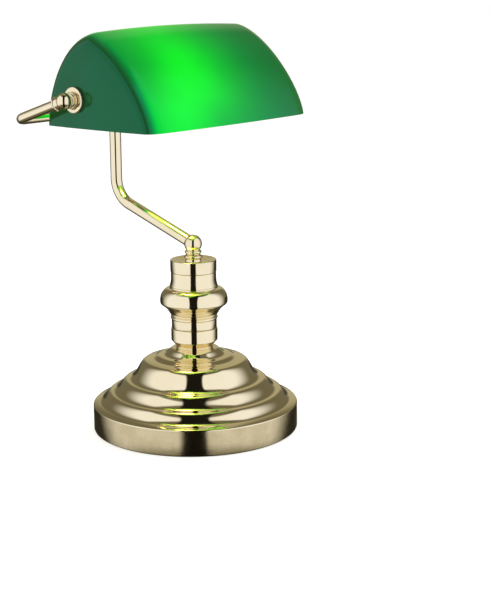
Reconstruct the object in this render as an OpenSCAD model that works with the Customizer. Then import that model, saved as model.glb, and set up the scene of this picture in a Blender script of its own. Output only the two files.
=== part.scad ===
// Banker desk lamp: a stepped brass base and column, a bent arm that swivels on the column,
// and a yoke that holds a tilting glass shade with the lampholder on its left pivot.
// Millimetres. Z is up, X runs along the shade, -Y is the front. The origin is on the
// table, on the axis of the column.

/* [Base] */
// Radius of the vertical band at the foot
base_r = 92.5; // [90:0.5:96]
// Height of the band above the table
band_z = 24.2; // [22:0.2:25]
// Height at which the column stands on the base
base_top_z = 74.2; // [73.6:0.2:75]
// Thickness of the felt pad
felt_t = 1.8; // [1.5:0.1:2]
// Thickness of the bottom plate
plate_t = 1.2; // [1:0.1:1.4]
// Height of the cast ballast
ballast_h = 13; // [10:0.5:14]

/* [Column] */
// Radius of the lower barrel
barrel_r = 20.9; // [20:0.1:22]
// Radius of the bulging cup at its sharp edge
cup_r = 30.4; // [28:0.2:32]
// Radius of the neck
neck_r = 20.7; // [20:0.1:21]
// Height of the top rim of the neck
neck_top_z = 154.8; // [154.4:0.1:155.2]
// Height of the centre of the lower ball elbow
ball_z = 168.8; // [168.6:0.1:170]
// Radius of the lower ball elbow
ball_r = 8; // [7.6:0.1:8.4]

/* [Arm and yoke] */
// Radius of the arm tube
arm_r = 5.3; // [4.9:0.1:5.4]
// Distance of the upright stem behind the column axis
stem_y = 93.4; // [90:0.2:97]
// Height at which the sloping arm would meet the upright stem
bend_z = 202.6; // [198:0.2:208]
// Radius of the bend between arm and stem
bend_r = 24; // [16:0.5:28]
// Height of the back bar of the yoke
bar_z = 283; // [280:0.5:286]
// Half of the width between the yoke arms
yoke_half = 118; // [117:0.5:121]
// Radius of the yoke tube
yoke_r = 4.4; // [4:0.1:4.8]
// Radius of the bends of the yoke
yoke_bend_r = 9.5; // [9:0.5:14]
// Radius of the yoke's ball elbows
elbow_r = 7; // [6.6:0.1:7.4]

/* [Shade] */
// Pivot axis of the shade: distance behind the column axis
pivot_y = 34.7; // [33:0.1:36]
// Pivot axis of the shade: height
pivot_z = 302.25; // [301:0.25:304]
// Height of the open rim of the shade
rim_z = 278.6; // [277.8:0.2:279.2]
// Half length of the shade, without the bulge of its ends
shade_half = 104.1; // [103.6:0.1:104.2]
// Bulge of the end faces
end_bulge = 1.8; // [1.6:0.1:1.9]
// Height of the shade at its ends
shade_h = 78; // [76:0.2:80]
// How much the shade rises at the middle of its length
ridge_bulge = 3.4; // [2:0.1:3.6]
// Depth of the shade in front of its ridge
front_depth = 72.4; // [71:0.2:75]
// Depth of the shade behind its ridge
rear_depth = 53.1; // [52:0.1:54]
// Place of the ridge behind the column axis
ridge_y = 22.6; // [21.8:0.1:23]
// Thickness of the glass
glass_t = 3.8; // [3.2:0.1:4]

/* [Bulb] */
// Radius of the bulb's globe
globe_r = 27.5; // [25:0.5:28]
// Length of the bulb from its tip to its centre contact
bulb_len = 98; // [96:1:100]
// Place of the bulb's centre contact along X
contact_x = -82; // [-82.3:0.1:-81.8]

/* [Hidden] */
$fn = 96;

brass = "#d8c78c";
steel = "#b9bcc0";
iron = "#3a3a3c";
dark_rubber = "#1c1c1e";
green_glass = "#0e8a4a";
ceramic = "#eeeae0";

// Base
shell_t = 1.3;           // wall of the spun cover
band_in_r = base_r - 1.2;
shell_lift = 0.8;        // the band ends this far above the table
hole_r = 5.4;            // holes that the tie tube passes through
tie_r = 5;
tie_bore_r = 3.6;
cup_top_z = 9.2;         // top of the raised cup in the bottom plate
cup_in_r = 15;
gland_z = 12.4;
gland_r = 6;
gland_bore_r = 3.6;
edge_r = 1.5;            // rounding of the top edge of the band
ballast_in_r = 22;
ballast_out_r = 84;
notch_w = 30;            // notch of the ballast, at the back
notch_y = 56;
ballast_z = felt_t + plate_t + 0.1;
screw_ring_r = 60;       // circle of the three plate screws

// The tiers of the cover, from the column outwards: radius, height and how strongly
// the ogee that leads to the next point swells (0 is a straight slope).
tiers = [
    [18.5, base_top_z, 0.7], [29.5, 67.8, 0.7], [40, 64.4, 0], [43, 63.6, 0.8],
    [60.5, 46, 0.7], [75, 35.1, 0.7], [87.5, 25.7, 0]
];

// Column
barrel_z = base_top_z;
groove_z = 92.6;
sleeve_r = 20.3;
collar_z = 100.6;
cup_z = 106;
cup_edge_z = 114.4;
cup_wide_z = 117.6;
cup_top_r = 21.6;
neck_z = 130.6;
cap_z = 143.6;
wall = 1.6;
swivel_r = 3.95;
swivel_bore_r = 4;
dish_z = neck_top_z - 2.5;
cap_web_z = 146;
lead_r = 1.7;
lead_bore_r = 2.6;
corner_bore_r = 3.1;     // the round room inside each ball, where the lead turns
lead_turn_r = 2.1;       // radius of the lead's own turns
spindle_z = dish_z + 0.3;
spindle_foot_z = 137;
low_bead_z = 157;
top_bead_z = 161.4;

// Arm
arm_tilt = atan2(bend_z - ball_z, stem_y);
pocket = 4.6;            // depth, from the centre of the ball, at which the arm tube starts
stem_top_z = bar_z - 6;
arm_foot = [0, 0, ball_z];
arm_corner = [0, stem_y, bend_z];
tee_middle = [0, stem_y, bar_z];

// Yoke, in a plane that rises from the back bar to the pivots
yoke_run = norm([stem_y - pivot_y, pivot_z - bar_z]);
yoke_tilt = -atan2(pivot_z - bar_z, stem_y - pivot_y);
tee_half = 13;
yoke_start = 4;          // the yoke tubes start this far from the middle of the tee
elbow_pocket = 4.4;

// Pivots
stud_r = 4.95;
bush_in_r = 5;
bush_hub_r = 8;
bush_flange_r = 12;
bush_out_x = 106.9;      // outer face of the rubber bush
bush_in_x = 100.2;       // inner face of the rubber bush
flange_x = bush_out_x + 0.3;
flange_t = 1.8;
flange_r = 11;
washer_t = 1.5;
inner_washer_x = bush_in_x - 0.3;
nut_t = 4.4;
stud_end_x = 88.5;

// Lampholder, along the left pivot axis
holder_back_x = 93.2;
holder_joint_x = 80;
holder_mouth_x = 54;
holder_r = 19.5;
core_back_x = 88;
screw_shell_r = 13.4;
cap_r = 13;              // radius of the bulb's screw cap
cap_len = 25.5;
insulator_t = 3;
contact_seat_x = 84.4;   // back of the recess that holds the centre contact

// Bulb
globe_x = contact_x + bulb_len - globe_r;
cap_x = contact_x + 1.2 + insulator_t;
neck_x = cap_x + cap_len;
filament_x = cap_x + 40;
filament_half = 8;
wire_r = 0.35;
stem_rod_r = 3;

// Shade
profile_steps = 26;
front_power = 1.41;      // 2 is an ellipse, and less is a more pointed arch
rear_power = 1.77;
corner_r = 17.3;         // rounding between the body and the end faces
corner_draw = 0.52;      // how far the corner draws in for each millimetre of its radius
side_bulge = 3.4;        // how much deeper the shade is at the middle of its length

// Shapes used by several parts

module tube(outer, inner, length) {
    difference() {
        cylinder(r = outer, h = length);
        translate([0, 0, -1]) cylinder(r = inner, h = length + 2);
    }
}

module hex_nut(across_flats, inner, height) {
    difference() {
        cylinder(r = across_flats / 2 / cos(30), h = height, $fn = 6);
        translate([0, 0, -1]) cylinder(r = inner, h = height + 2);
    }
}

// Turns a shape that stands on +Z so that it points along +X
module along_x() {
    rotate([0, 90, 0]) children();
}

// Puts a shape made on the pivot axis in its place
module on_pivot() {
    translate([0, pivot_y, pivot_z]) children();
}

// Left (side = -1) and right (side = 1) shapes are drawn pointing outwards
module on_side(side) {
    on_pivot() rotate([0, 0, side < 0 ? 180 : 0]) children();
}

module bead(ring_r, round_r, z) {
    translate([0, 0, z]) rotate_extrude() translate([ring_r - round_r, 0]) circle(r = round_r, $fn = 24);
}

// Points of a rounded bead on a turned section, from its lower side to its upper side
function round_edge(middle_r, round_r, z, half_angle, n = 6) = [
    for (i = [0:n]) let (a = half_angle * (2 * i / n - 1)) [middle_r + round_r * cos(a), z + round_r * sin(a)]
];

// A section of revolution without its bore
module turned(points) {
    rotate_extrude() polygon(points);
}

// A quarter-turn or less of round bar in the XY plane: it starts at the origin along +Y
// and turns towards +X
module bar_bend(r, turn_r, angle) {
    translate([turn_r, 0, 0]) rotate([0, 0, 180 - angle])
        rotate_extrude(angle = angle) translate([turn_r, 0]) circle(r = r, $fn = 48);
}

// Base

function ogee(p, q, n = 10) = [
    for (i = [0:n - 1]) let (t = i / n)
        [p[0] + (q[0] - p[0]) * t, p[1] + (q[1] - p[1]) * (t - p[2] * sin(360 * t) / (2 * PI))]
];

function cover_line() = concat(
    [for (i = [0:len(tiers) - 2]) each tiers[i][2] > 0 ? ogee(tiers[i], tiers[i + 1]) : [[tiers[i][0], tiers[i][1]]]],
    [[tiers[len(tiers) - 1][0], tiers[len(tiers) - 1][1]]]
);

module base_shell() {
    outer = concat(
        [[hole_r, base_top_z]],
        cover_line(),
        [for (a = [70:-10:0]) [base_r - edge_r + edge_r * cos(a), band_z - edge_r + edge_r * sin(a)]],
        [[base_r, shell_lift]]
    );
    inner = concat(
        [[hole_r, base_top_z - shell_t]],
        [for (p = cover_line()) [p[0] - 0.9, p[1] - 1.1]],
        [[band_in_r, band_z - 2.6], [band_in_r, shell_lift]]
    );
    color(brass) difference() {
        turned(concat(outer, [for (i = [len(inner) - 1:-1:0]) inner[i]]));
        translate([0, base_r - 8, gland_z]) rotate([-90, 0, 0]) cylinder(r = gland_r, h = 20);
    }
}

module base_weight() {
    color(iron) translate([0, 0, ballast_z]) difference() {
        rotate_extrude() difference() {
            translate([ballast_in_r, 0]) square([ballast_out_r - ballast_in_r, ballast_h]);
            translate([ballast_out_r, ballast_h]) rotate(45) square(4, center = true);
        }
        translate([-notch_w / 2, notch_y, -1]) cube([notch_w, 40, ballast_h + 2]);
        for (a = [30:120:270]) rotate(a) translate([screw_ring_r, 0, -1]) cylinder(r = 1.75, h = 9);
    }
}

module bottom_plate() {
    color(steel) difference() {
        union() {
            translate([0, 0, felt_t]) cylinder(r = band_in_r - 0.2, h = plate_t);
            cylinder(r = cup_in_r + plate_t, h = cup_top_z);
        }
        translate([0, 0, -1]) cylinder(r = cup_in_r, h = cup_top_z - plate_t + 1);
        translate([0, 0, -1]) cylinder(r = hole_r, h = cup_top_z + 2);
        translate([0, 0, -1]) cylinder(r = cup_in_r + 5, h = felt_t + 1);
        for (a = [30:120:270]) rotate(a) translate([screw_ring_r, 0, felt_t - 1])
            cylinder(r1 = 4.3, r2 = 2.0, h = plate_t + 1.3);
    }
}

module felt_pad() {
    color("#1d3a2a") cylinder(r = band_in_r - 0.6, h = felt_t - 0.05);
}

module plate_screws() {
    color(steel) for (a = [30:120:270]) rotate(a) translate([screw_ring_r, 0, felt_t]) difference() {
        union() {
            cylinder(r1 = 3.2, r2 = 1.6, h = 1.3);
            cylinder(r = 1.6, h = 8);
        }
        translate([-0.4, -4, -1]) cube([0.8, 8, 1.5]);
    }
}

module cord_gland() {
    color(dark_rubber) translate([0, base_r, gland_z]) rotate([90, 0, 0]) difference() {
        union() {
            translate([0, 0, -0.8]) cylinder(r = 5.9, h = 4.6);
            translate([0, 0, -2]) cylinder(r = 8, h = 1.6);
            translate([0, 0, 1.6]) cylinder(r = 7.6, h = 1.8);
        }
        translate([0, 0, -3]) cylinder(r = gland_bore_r, h = 10);
    }
}

module terminal_block() {
    color(ceramic) translate([-11, notch_y + 4, ballast_z + 0.4]) difference() {
        cube([22, 11, 9]);
        for (x = [5.5, 16.5]) {
            translate([x, -1, 4]) rotate([-90, 0, 0]) cylinder(r = 1.8, h = 13);
            translate([x, 5.5, 5]) cylinder(r = 1.6, h = 5);
        }
    }
}

module tie_tube() {
    color(steel) translate([0, 0, felt_t + 0.6]) tube(tie_r, tie_bore_r, 114.5 - felt_t);
}

module tie_washers() {
    color(steel) {
        translate([0, 0, cup_top_z - plate_t - 1.2]) tube(9, tie_r + 0.3, 1.2);
        translate([0, 0, cup_z + 2]) tube(10, tie_r + 0.3, 1.2);
    }
}

module tie_nuts() {
    color(steel) {
        translate([0, 0, cup_top_z - plate_t - 1.2 - 4.4]) hex_nut(14, tie_r, 4.4);
        translate([0, 0, cup_z + 3.2]) hex_nut(14, tie_r, 5);
    }
}

// Column

module column_barrel() {
    color(brass) turned([
        [hole_r, barrel_z], [16.8, barrel_z], [16.8, barrel_z + 2.4], [17.6, barrel_z + 3],
        [barrel_r - 0.3, barrel_z + 6.6], [barrel_r, barrel_z + 7.4], [barrel_r, groove_z - 0.4],
        [barrel_r - 0.4, groove_z], [barrel_r - wall - 0.6, groove_z], [barrel_r - wall - 0.6, barrel_z + 8],
        [15, barrel_z + 2], [hole_r, barrel_z + 2]
    ]);
}

module barrel_sleeve() {
    color(brass) turned([
        [sleeve_r - 1, groove_z], [sleeve_r, groove_z + 0.6], [sleeve_r, collar_z],
        [sleeve_r - wall, collar_z], [sleeve_r - wall, groove_z]
    ]);
}

module collar_ring() {
    color(brass) rotate_extrude() difference() {
        union() {
            translate([sleeve_r - wall, collar_z]) square([wall + 0.2, cup_z - collar_z]);
            translate([sleeve_r - 0.5, collar_z + 1.5]) circle(r = 1.4, $fn = 32);
            translate([sleeve_r - 0.3, cup_z - 1.1]) circle(r = 1.05, $fn = 32);
        }
        translate([sleeve_r - wall - 3, collar_z - 2]) square([3, 10]);
    }
}

// The bulge is a round swelling that ends below in a sharp edge
module column_cup() {
    swell = [for (a = [0:9:81])
        [cup_top_r + (cup_r - cup_top_r) * cos(a), cup_wide_z + (neck_z - 1.4 - cup_wide_z) * sin(a)]];
    outer = concat(
        [[hole_r, cup_z], [21.2, cup_z], [22.6, cup_z + 1.5], [cup_r - 1.2, cup_edge_z]],
        swell,
        [[cup_top_r, neck_z - 1.2], [cup_top_r, neck_z]]
    );
    inner = [[19, neck_z], [19, neck_z - 2], [24, cup_wide_z + 4], [24, cup_wide_z], [17, cup_z + 2.0], [hole_r, cup_z + 2.0]];
    color(brass) turned(concat(outer, inner));
}

module column_neck() {
    color(brass) turned([
        [cup_top_r - 0.4, neck_z], [cup_top_r - 0.2, neck_z + 0.9], [neck_r - 0.1, neck_z + 4],
        [neck_r - 0.4, neck_z + 7], [neck_r - 0.4, cap_z - 0.5], [neck_r - 0.8, cap_z],
        [neck_r - wall - 0.6, cap_z], [neck_r - wall - 0.6, neck_z - 4], [18.9, neck_z - 4], [18.9, neck_z]
    ]);
}

module neck_cap() {
    color(brass) turned([
        [neck_r - 0.7, cap_z], [neck_r - 0.1, cap_z + 0.6], [neck_r, neck_top_z - 1],
        [neck_r - 0.3, neck_top_z - 0.3], [neck_r - 1, neck_top_z], [neck_r - 1.8, neck_top_z - 0.2],
        [11, dish_z + 0.25], [8.6, dish_z], [swivel_bore_r, dish_z], [swivel_bore_r, cap_web_z],
        [9, cap_web_z], [neck_r - wall - 0.6, cap_web_z + 1.5], [neck_r - wall - 0.6, cap_z]
    ]);
}

module base_lead() {
    color(dark_rubber) {
        translate([0, 0, 3.2]) cylinder(r = lead_r, h = 128, $fn = 24);
    }
}

// Arm

module spindle() {
    color(brass) difference() {
        union() {
            translate([0, 0, spindle_foot_z]) cylinder(r = swivel_r, h = spindle_z + 1 - spindle_foot_z);
            turned(concat(
                [[0, spindle_z], [7.2, spindle_z], [7.5, spindle_z + 0.5], [7, spindle_z + 1.8]],
                round_edge(6.6, 1.7, low_bead_z, 60),
                round_edge(6.2, 1.4, top_bead_z, 60),
                [[6.2, top_bead_z + 2], [6.4, top_bead_z + 3.2], [0, top_bead_z + 3.2]]
            ));
            translate([0, 0, ball_z]) sphere(r = ball_r);
        }
        translate([0, 0, spindle_foot_z - 7]) cylinder(r = lead_bore_r, h = ball_z - spindle_foot_z + 9.2);
        translate([0, 0, ball_z]) rotate([arm_tilt - 90, 0, 0]) {
            translate([0, 0, -2]) cylinder(r = corner_bore_r, h = 22);
            translate([0, 0, pocket]) cylinder(r = arm_r, h = 20);
        }
    }
}

module swivel_washer() {
    color(steel) translate([0, 0, cap_web_z - 1.5]) tube(7.5, swivel_r + 0.1, 1.2);
}

module swivel_nut() {
    color(steel) translate([0, 0, cap_web_z - 6.3]) hex_nut(12, swivel_r, 4.7);
}

function unit(v) = v / norm(v);

// Points round a corner b between a and c, on an arc of radius r
function fillet(a, b, c, r, n = 8) =
    let (
        u = unit(a - b),
        v = unit(c - b),
        half = acos(u * v) / 2,
        p = b + u * r / tan(half),
        centre = b + unit(u + v) * r / sin(half)
    )
    [for (k = [0:n]) let (angle = (180 - 2 * half) * k / n) centre + (p - centre) * cos(angle) - u * r * sin(angle)];

// A route through corner points, with each inner corner rounded to its radius
function route(corners, radii) = concat(
    [corners[0]],
    [for (i = [1:len(corners) - 2]) each fillet(corners[i - 1], corners[i], corners[i + 1], radii[i - 1])],
    [corners[len(corners) - 1]]
);

function heading(path, i) =
    unit(unit(path[min(i + 1, len(path) - 1)] - path[min(i, len(path) - 2)])
        + unit(path[max(i, 1)] - path[max(i - 1, 0)]));

// A round bar of radius r along a route; side is any direction across its start
module sweep(path, r, side, sides) {
    last = len(path) - 1;
    across = [for (i = 0, n = side; i <= last; i = i + 1, n = i <= last
        ? unit(n - (n * heading(path, i)) * heading(path, i)) : n) n];
    points = [for (i = [0:last], k = [0:sides - 1])
        path[i] + r * (across[i] * cos(360 * k / sides) + cross(heading(path, i), across[i]) * sin(360 * k / sides))];
    skin = [for (i = [0:last - 1], k = [0:sides - 1]) let (m = (k + 1) % sides)
        each [[i * sides + k, (i + 1) * sides + k, (i + 1) * sides + m],
              [i * sides + k, (i + 1) * sides + m, i * sides + m]]];
    ends = [[for (k = [0:sides - 1]) k], [for (k = [sides - 1:-1:0]) last * sides + k]];
    polyhedron(points, concat(skin, ends));
}

module arm_bar(r, start, top) {
    foot = arm_foot + start * unit(arm_corner - arm_foot);
    sweep(route([foot, arm_corner, [0, stem_y, top]], [bend_r]), r, [1, 0, 0], 36);
}

module arm_tube() {
    color(brass) difference() {
        arm_bar(arm_r, pocket, stem_top_z);
        arm_bar(arm_r - 1, pocket - 1, stem_top_z + 1);
    }
}

// Places a shape in the plane of the yoke, with +Y away from the pivots
module in_yoke() {
    translate([0, stem_y, bar_z]) rotate([yoke_tilt, 0, 0]) children();
}

module tee_fitting() {
    color(brass) difference() {
        union() {
            translate([0, stem_y, bar_z]) {
                sphere(r = 7.2);
                translate([0, 0, -17]) cylinder(r = 6.4, h = 17);
                translate([0, 0, -17]) bead(7.2, 1.3, 0.8);
                translate([-tee_half, 0, 0]) along_x() cylinder(r = 5.6, h = 2 * tee_half);
                for (x = [-tee_half + 1, tee_half - 1]) translate([x, 0, 0]) along_x() bead(6.4, 1.2, 0);
            }
        }
        translate([0, stem_y, bar_z - 30]) cylinder(r = lead_bore_r, h = 30);
        translate([0, stem_y, stem_top_z - 30]) cylinder(r = arm_r, h = 30);
        translate([-30, stem_y, bar_z]) along_x() cylinder(r = lead_bore_r, h = 60);
        for (x = [-30 - yoke_start, yoke_start]) translate([x, stem_y, bar_z]) along_x() cylinder(r = yoke_r, h = 30);
    }
}

// The centre line of one yoke tube, in the plane of the yoke and on the +X side
module yoke_line(r, start, stop) {
    translate([start, 0, 0]) along_x() cylinder(r = r, h = yoke_half - yoke_bend_r - start);
    translate([yoke_half, -yoke_bend_r, 0]) mirror([1, 0, 0]) bar_bend(r, yoke_bend_r, 90);
    translate([yoke_half, -yoke_bend_r, 0]) rotate([90, 0, 0]) cylinder(r = r, h = yoke_run - yoke_bend_r - stop);
}

module yoke_tube() {
    difference() {
        yoke_line(yoke_r, yoke_start, elbow_pocket);
        yoke_line(yoke_r - 0.9, yoke_start - 1, elbow_pocket - 1);
    }
}

module yoke_tube_left() {
    color(brass) in_yoke() mirror([1, 0, 0]) yoke_tube();
}

module yoke_tube_right() {
    color(brass) in_yoke() yoke_tube();
}

// The ball elbow and its beaded sleeve, on the +X side
module elbow() {
    sleeve_x = flange_x + flange_t;
    difference() {
        union() {
            in_yoke() translate([yoke_half, -yoke_run, 0]) {
                sphere(r = elbow_r);
                rotate([-90, 0, 0]) cylinder(r = 5.5, h = 10.5);
                rotate([-90, 0, 0]) bead(6.4, 1.3, 9.2);
            }
            on_pivot() translate([sleeve_x, 0, 0]) along_x() {
                cylinder(r = 5.2, h = yoke_half - sleeve_x);
                bead(7.2, 1.1, 1.3);
                bead(6.5, 0.9, 3.6);
            }
        }
        on_pivot() translate([sleeve_x - 10, 0, 0]) along_x() cylinder(r = lead_bore_r, h = yoke_half - sleeve_x + 10);
        on_pivot() translate([sleeve_x - 10, 0, 0]) along_x() cylinder(r = stud_r, h = 14);
        in_yoke() translate([yoke_half, -yoke_run, 0]) {
            sphere(r = corner_bore_r);
            rotate([-90, 0, 0]) cylinder(r = lead_bore_r, h = 30);
            translate([0, elbow_pocket, 0]) rotate([-90, 0, 0]) cylinder(r = yoke_r, h = 30);
        }
    }
}

module elbow_left() {
    color(brass) mirror([1, 0, 0]) elbow();
}

module elbow_right() {
    color(brass) elbow();
}

module pivot_stud(inner_x) {
    translate([inner_x, 0, 0]) along_x() tube(stud_r, lead_bore_r, flange_x + flange_t + 4 - inner_x);
}

module pivot_stud_left() {
    color(steel) on_side(-1) pivot_stud(stud_end_x);
}

module pivot_stud_right() {
    color(steel) on_side(1) pivot_stud(inner_washer_x - washer_t - nut_t - 1.5);
}

module flange() {
    translate([flange_x, 0, 0]) along_x() difference() {
        union() {
            cylinder(r = flange_r, h = flange_t - 0.6);
            translate([0, 0, flange_t - 0.6]) cylinder(r1 = flange_r, r2 = flange_r - 1.5, h = 0.6);
        }
        translate([0, 0, -1]) cylinder(r = stud_r, h = 5);
    }
}

module flange_left() {
    color(brass) on_side(-1) flange();
}

module flange_right() {
    color(brass) on_side(1) flange();
}

module inner_washers() {
    color(steel) for (side = [-1, 1]) on_side(side)
        translate([inner_washer_x - washer_t, 0, 0]) along_x() tube(10, stud_r, washer_t);
}

module stud_nuts() {
    color(steel) for (side = [-1, 1]) on_side(side)
        translate([inner_washer_x - washer_t - nut_t, 0, 0]) along_x() hex_nut(14, stud_r, nut_t);
}

// Lampholder: everything is drawn along -X with distances from the middle of the lamp

// Turned about the pivot axis: each point is [distance along -X, radius]
module holder_turned(points) {
    on_side(-1) along_x() rotate_extrude() polygon([for (p = points) [p[1], p[0]]]);
}

module holder_cap() {
    color(brass) holder_turned([
        [holder_back_x, stud_r], [holder_back_x, 7.6], [holder_back_x - 2.4, 8.4], [holder_back_x - 4, 12],
        [holder_back_x - 7.5, 16.6], [holder_joint_x + 1.4, holder_r - 0.6], [holder_joint_x, holder_r - 0.2],
        [holder_joint_x, holder_r - 1.4], [holder_joint_x + 2, holder_r - 2],
        [holder_back_x - 8, 15.2], [holder_back_x - 5, 10.6], [holder_back_x - 5, stud_r]
    ]);
}

module holder_skirt() {
    color(brass) holder_turned([
        [holder_joint_x, holder_r - 1.4], [holder_joint_x, holder_r - 0.2], [holder_joint_x - 1, holder_r],
        [holder_mouth_x + 1.2, holder_r], [holder_mouth_x, holder_r - 0.6], [holder_mouth_x, holder_r - 1.2],
        [holder_mouth_x + 1.6, holder_r - 1.4]
    ]);
}

module holder_core() {
    color(ceramic) difference() {
        holder_turned([
            [core_back_x - 2, 2.2], [core_back_x - 2, 12.5], [holder_joint_x, 16.5], [holder_mouth_x + 6, 16.8],
            [holder_mouth_x + 3.5, 15.4], [holder_mouth_x + 3.5, 14], [holder_joint_x - 0.6, 14],
            [holder_joint_x - 0.6, 10.2], [contact_seat_x, 10.2], [contact_seat_x, 2.2]
        ]);
        on_side(-1) for (y = [-7, 7]) translate([80, y, 0]) along_x() cylinder(r = 1.3, h = 20);
    }
}

module holder_shell() {
    color(brass) on_side(-1) translate([holder_mouth_x + 4, 0, 0]) along_x()
        tube(13.9, screw_shell_r, holder_joint_x - 0.7 - holder_mouth_x - 4);
}

module holder_contact() {
    color(brass) on_side(-1) union() {
        translate([83.6, -3, -2]) cube([0.7, 11, 4]);
        translate([82.5, -3, -2]) cube([1.2, 0.6, 4]);
        translate([82.4, -3, -2]) cube([0.5, 5.5, 4]);
    }
}

module terminal_screws() {
    color(steel) on_side(-1) for (y = [-7, 7]) translate([84.5, y, 0]) along_x() {
        cylinder(r = 1.2, h = 3);
        translate([0, 0, 1.7]) cylinder(r = 2.4, h = 1.6);
    }
}

module arm_lead() {
    yoke_corner = tee_middle + [-yoke_half, 0, 0];
    elbow_middle = [-yoke_half, pivot_y, pivot_z];
    color(dark_rubber) sweep(
        route(
            [
                [0, 0, 133.5], arm_foot, arm_corner, tee_middle, yoke_corner, elbow_middle,
                [-core_back_x - 1.5, pivot_y, pivot_z]
            ],
            [lead_turn_r, bend_r, lead_turn_r, yoke_bend_r, lead_turn_r]
        ),
        lead_r, [1, 0, 0], 12
    );
}

// Shade

// One arch of the shade, from the front rim over the ridge to the rear rim.
// side runs from -1 to 1 along the length, turn goes from 0 to 90 round the corner,
// shrink is 1 on the corner and less inside the end face, inset moves the surface inwards
// and drop lowers the two rim points.
function arch(side, turn, shrink, inset, drop) = [
    for (j = [0:profile_steps])
        let (
            angle = 180 * j / profile_steps,
            c = cos(angle),
            s = sin(angle),
            draw = corner_draw * corner_r * (1 - cos(turn)),
            x = side * (shade_half - inset - corner_r)
                + sign(side) * (corner_r * sin(turn) + end_bulge * (1 - shrink * shrink)),
            swell = 1 - pow(x / shade_half, 2),
            depth = c > 0 ? -(front_depth - inset - draw) * pow(c, 2 / front_power)
                          : (rear_depth - inset - draw) * pow(-c, 2 / rear_power),
            rise = (shade_h - inset - draw) * pow(max(s, 0), 2 / (c > 0 ? front_power : rear_power)),
            middle = (rear_depth - front_depth) / 2
        )
        [
            x,
            middle + shrink * (depth * (1 + side_bulge * swell / front_depth) - middle),
            j == 0 || j == profile_steps ? -drop : shrink * rise * (1 + ridge_bulge * swell / shade_h)
        ]
];

// A closed loaf shape: the arches of both ends, both corners and the body, skinned
module loaf(inset, drop) {
    left = concat(
        [for (t = [0.3, 0.6, 0.85]) [-1, 90, t]],
        [for (a = [90:-18:18]) [-1, a, 1]]
    );
    right = [for (i = [len(left) - 1:-1:0]) [1, left[i][1], left[i][2]]];
    stations = concat(left, [for (s = [-1:0.25:1]) [s, 0, 1]], right);
    rings = [for (s = stations) arch(s[0], s[1], s[2], inset, drop)];
    n = profile_steps + 1;
    last = len(rings) - 1;
    points = [for (ring = rings) each ring];
    skin = [for (i = [0:last - 1], j = [0:profile_steps - 1])
        each [[i * n + j, i * n + j + 1, (i + 1) * n + j + 1], [i * n + j, (i + 1) * n + j + 1, (i + 1) * n + j]]];
    under = [for (i = [0:last - 1])
        each [[i * n, (i + 1) * n, (i + 1) * n + n - 1], [i * n, (i + 1) * n + n - 1, i * n + n - 1]]];
    ends = [[for (j = [n - 1:-1:0]) j], [for (j = [0:n - 1]) last * n + j]];
    polyhedron(points, concat(skin, under, ends));
}

module glass_shade() {
    color(green_glass) difference() {
        translate([0, ridge_y, rim_z]) difference() {
            loaf(0, 0);
            loaf(glass_t, 2);
        }
        on_pivot() translate([-150, 0, 0]) along_x() cylinder(r = bush_hub_r, h = 300);
    }
}

module shade_bush() {
    difference() {
        union() {
            translate([bush_in_x, 0, 0]) along_x() cylinder(r = bush_hub_r - 0.1, h = bush_out_x - bush_in_x);
            translate([bush_in_x, 0, 0]) along_x() cylinder(r = bush_flange_r - 1, h = 0.9);
            translate([bush_out_x - 0.8, 0, 0]) along_x() cylinder(r = bush_flange_r - 1, h = 0.8);
        }
        translate([80, 0, 0]) along_x() cylinder(r = bush_in_r, h = 40);
    }
}

module shade_bush_left() {
    color(dark_rubber) on_side(-1) shade_bush();
}

module shade_bush_right() {
    color(dark_rubber) on_side(1) shade_bush();
}

// Bulb, along the left pivot axis

// Outline of the envelope, from the cap to the tip: [place along X, radius]
function envelope(inset) = concat(
    [[neck_x - 3, 12.4 - inset], [neck_x + 2, 12.6 - inset], [neck_x + 9, 14 - inset]],
    [for (a = [132:-6:0]) [globe_x + (globe_r - inset) * cos(a), (globe_r - inset) * sin(a)]]
);

module bulb_glass() {
    outer = envelope(0);
    inner = envelope(0.8);
    wall_line = concat(outer, [for (i = [len(inner) - 1:-1:0]) inner[i]]);
    color("#f3ead2", 0.7) on_pivot() along_x() rotate_extrude() polygon([for (p = wall_line) [p[1], p[0]]]);
}

module bulb_cap() {
    color(steel) on_pivot() translate([cap_x, 0, 0]) along_x() tube(cap_r, cap_r - 0.5, cap_len);
}

module bulb_insulator() {
    color("#101014") on_pivot() translate([contact_x + 1.2, 0, 0]) along_x()
        cylinder(r1 = 6, r2 = cap_r - 0.6, h = insulator_t);
}

module bulb_contact() {
    color(steel) on_pivot() translate([contact_x, 0, 0]) along_x() cylinder(r1 = 3.6, r2 = 4.4, h = 1.2);
}

module bulb_stem() {
    color("#dfe8ea") on_pivot() translate([cap_x + 6, 0, 0]) along_x() union() {
        cylinder(r1 = 9, r2 = 4, h = 18);
        cylinder(r = stem_rod_r - 0.02, h = 33.4);
    }
}

module bulb_filament() {
    color(steel) on_pivot() translate([filament_x, 0, 0]) {
        for (y = [-filament_half, filament_half]) translate([-9, y, 0]) along_x() cylinder(r = wire_r, h = 9.3, $fn = 24);
        for (y = [-filament_half, stem_rod_r]) translate([-9, y, 0]) rotate([-90, 0, 0])
            cylinder(r = wire_r, h = filament_half - stem_rod_r, $fn = 24);
        translate([0, -filament_half - 0.3, 0]) rotate([-90, 0, 0])
            cylinder(r = 0.5, h = 2 * filament_half + 0.6, $fn = 24);
    }
}

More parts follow.
